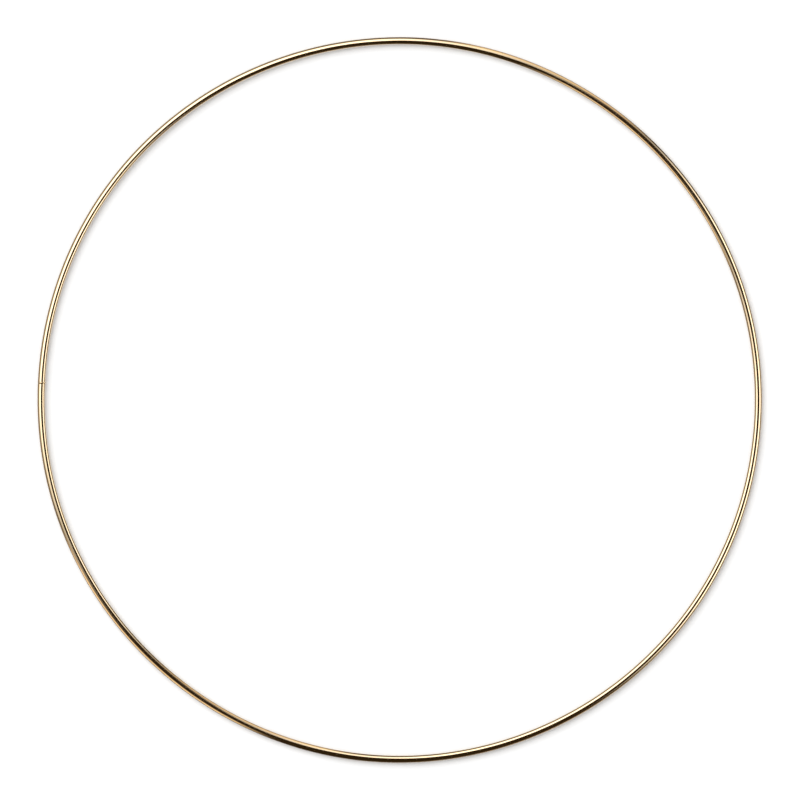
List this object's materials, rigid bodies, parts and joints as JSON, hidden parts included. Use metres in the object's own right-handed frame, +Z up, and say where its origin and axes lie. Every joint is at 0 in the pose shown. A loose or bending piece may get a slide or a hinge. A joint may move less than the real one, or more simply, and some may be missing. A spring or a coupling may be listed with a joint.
{
  "type": "wreath frame",
  "caption": "Plain round wreath frame: a flat hoop of brass-plated steel wire, butt-welded shut, for binding stems and foliage.",
  "frame": {"origin": "centre of the ring, on the surface that it lies flat on", "axes": "+Z up, along the ring's axis; +X away from the weld, which is on the -X side; +Y to the left of +X, seen from above"},
  "size_m": [0.3, 0.3, 0.003],
  "materials": {
    "plated_wire": "bright drawn wire, brass-plated",
    "plated_weld": "plated over the weld, slightly duller than the wire"
  },
  "bodies": {
    "root": {"ring_wire": "plated_wire", "butt_weld": "plated_weld"}
  },
  "joints": []
}
